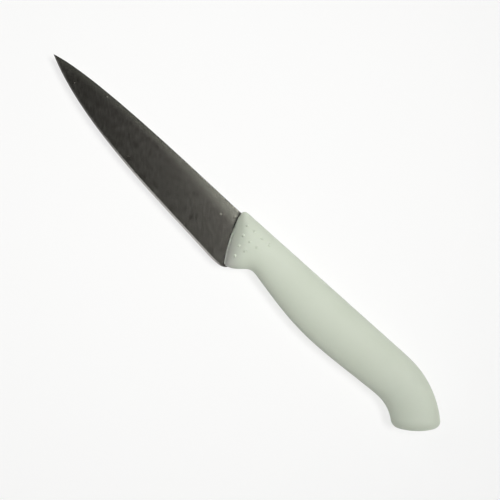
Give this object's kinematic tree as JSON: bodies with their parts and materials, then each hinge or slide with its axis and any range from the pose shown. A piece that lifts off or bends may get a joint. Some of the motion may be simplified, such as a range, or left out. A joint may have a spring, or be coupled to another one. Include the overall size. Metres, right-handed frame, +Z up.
{
  "type": "paring knife",
  "caption": "Small kitchen knife with a pointed, flat-ground steel blade and a white moulded plastic handle with a finger guard, grip dots and a curled pommel.",
  "frame": {"origin": "on the surface that the knife lies on, under the middle of its length and of its height from back to toe", "axes": "the knife lies on its side: +X along it from the tip towards the pommel, +Y from the cutting edge towards the back, +Z up, square to the blade's side"},
  "size_m": [0.2106, 0.0244, 0.014],
  "materials": {
    "blade_steel": "finely ground across the blade, with a brighter polished band along the back and a bright honed edge",
    "handle_plastic": "moulded polypropylene, off-white with a faint green tint, low sheen"
  },
  "bodies": {
    "root": {"blade": "blade_steel", "handle": "handle_plastic"}
  },
  "joints": []
}
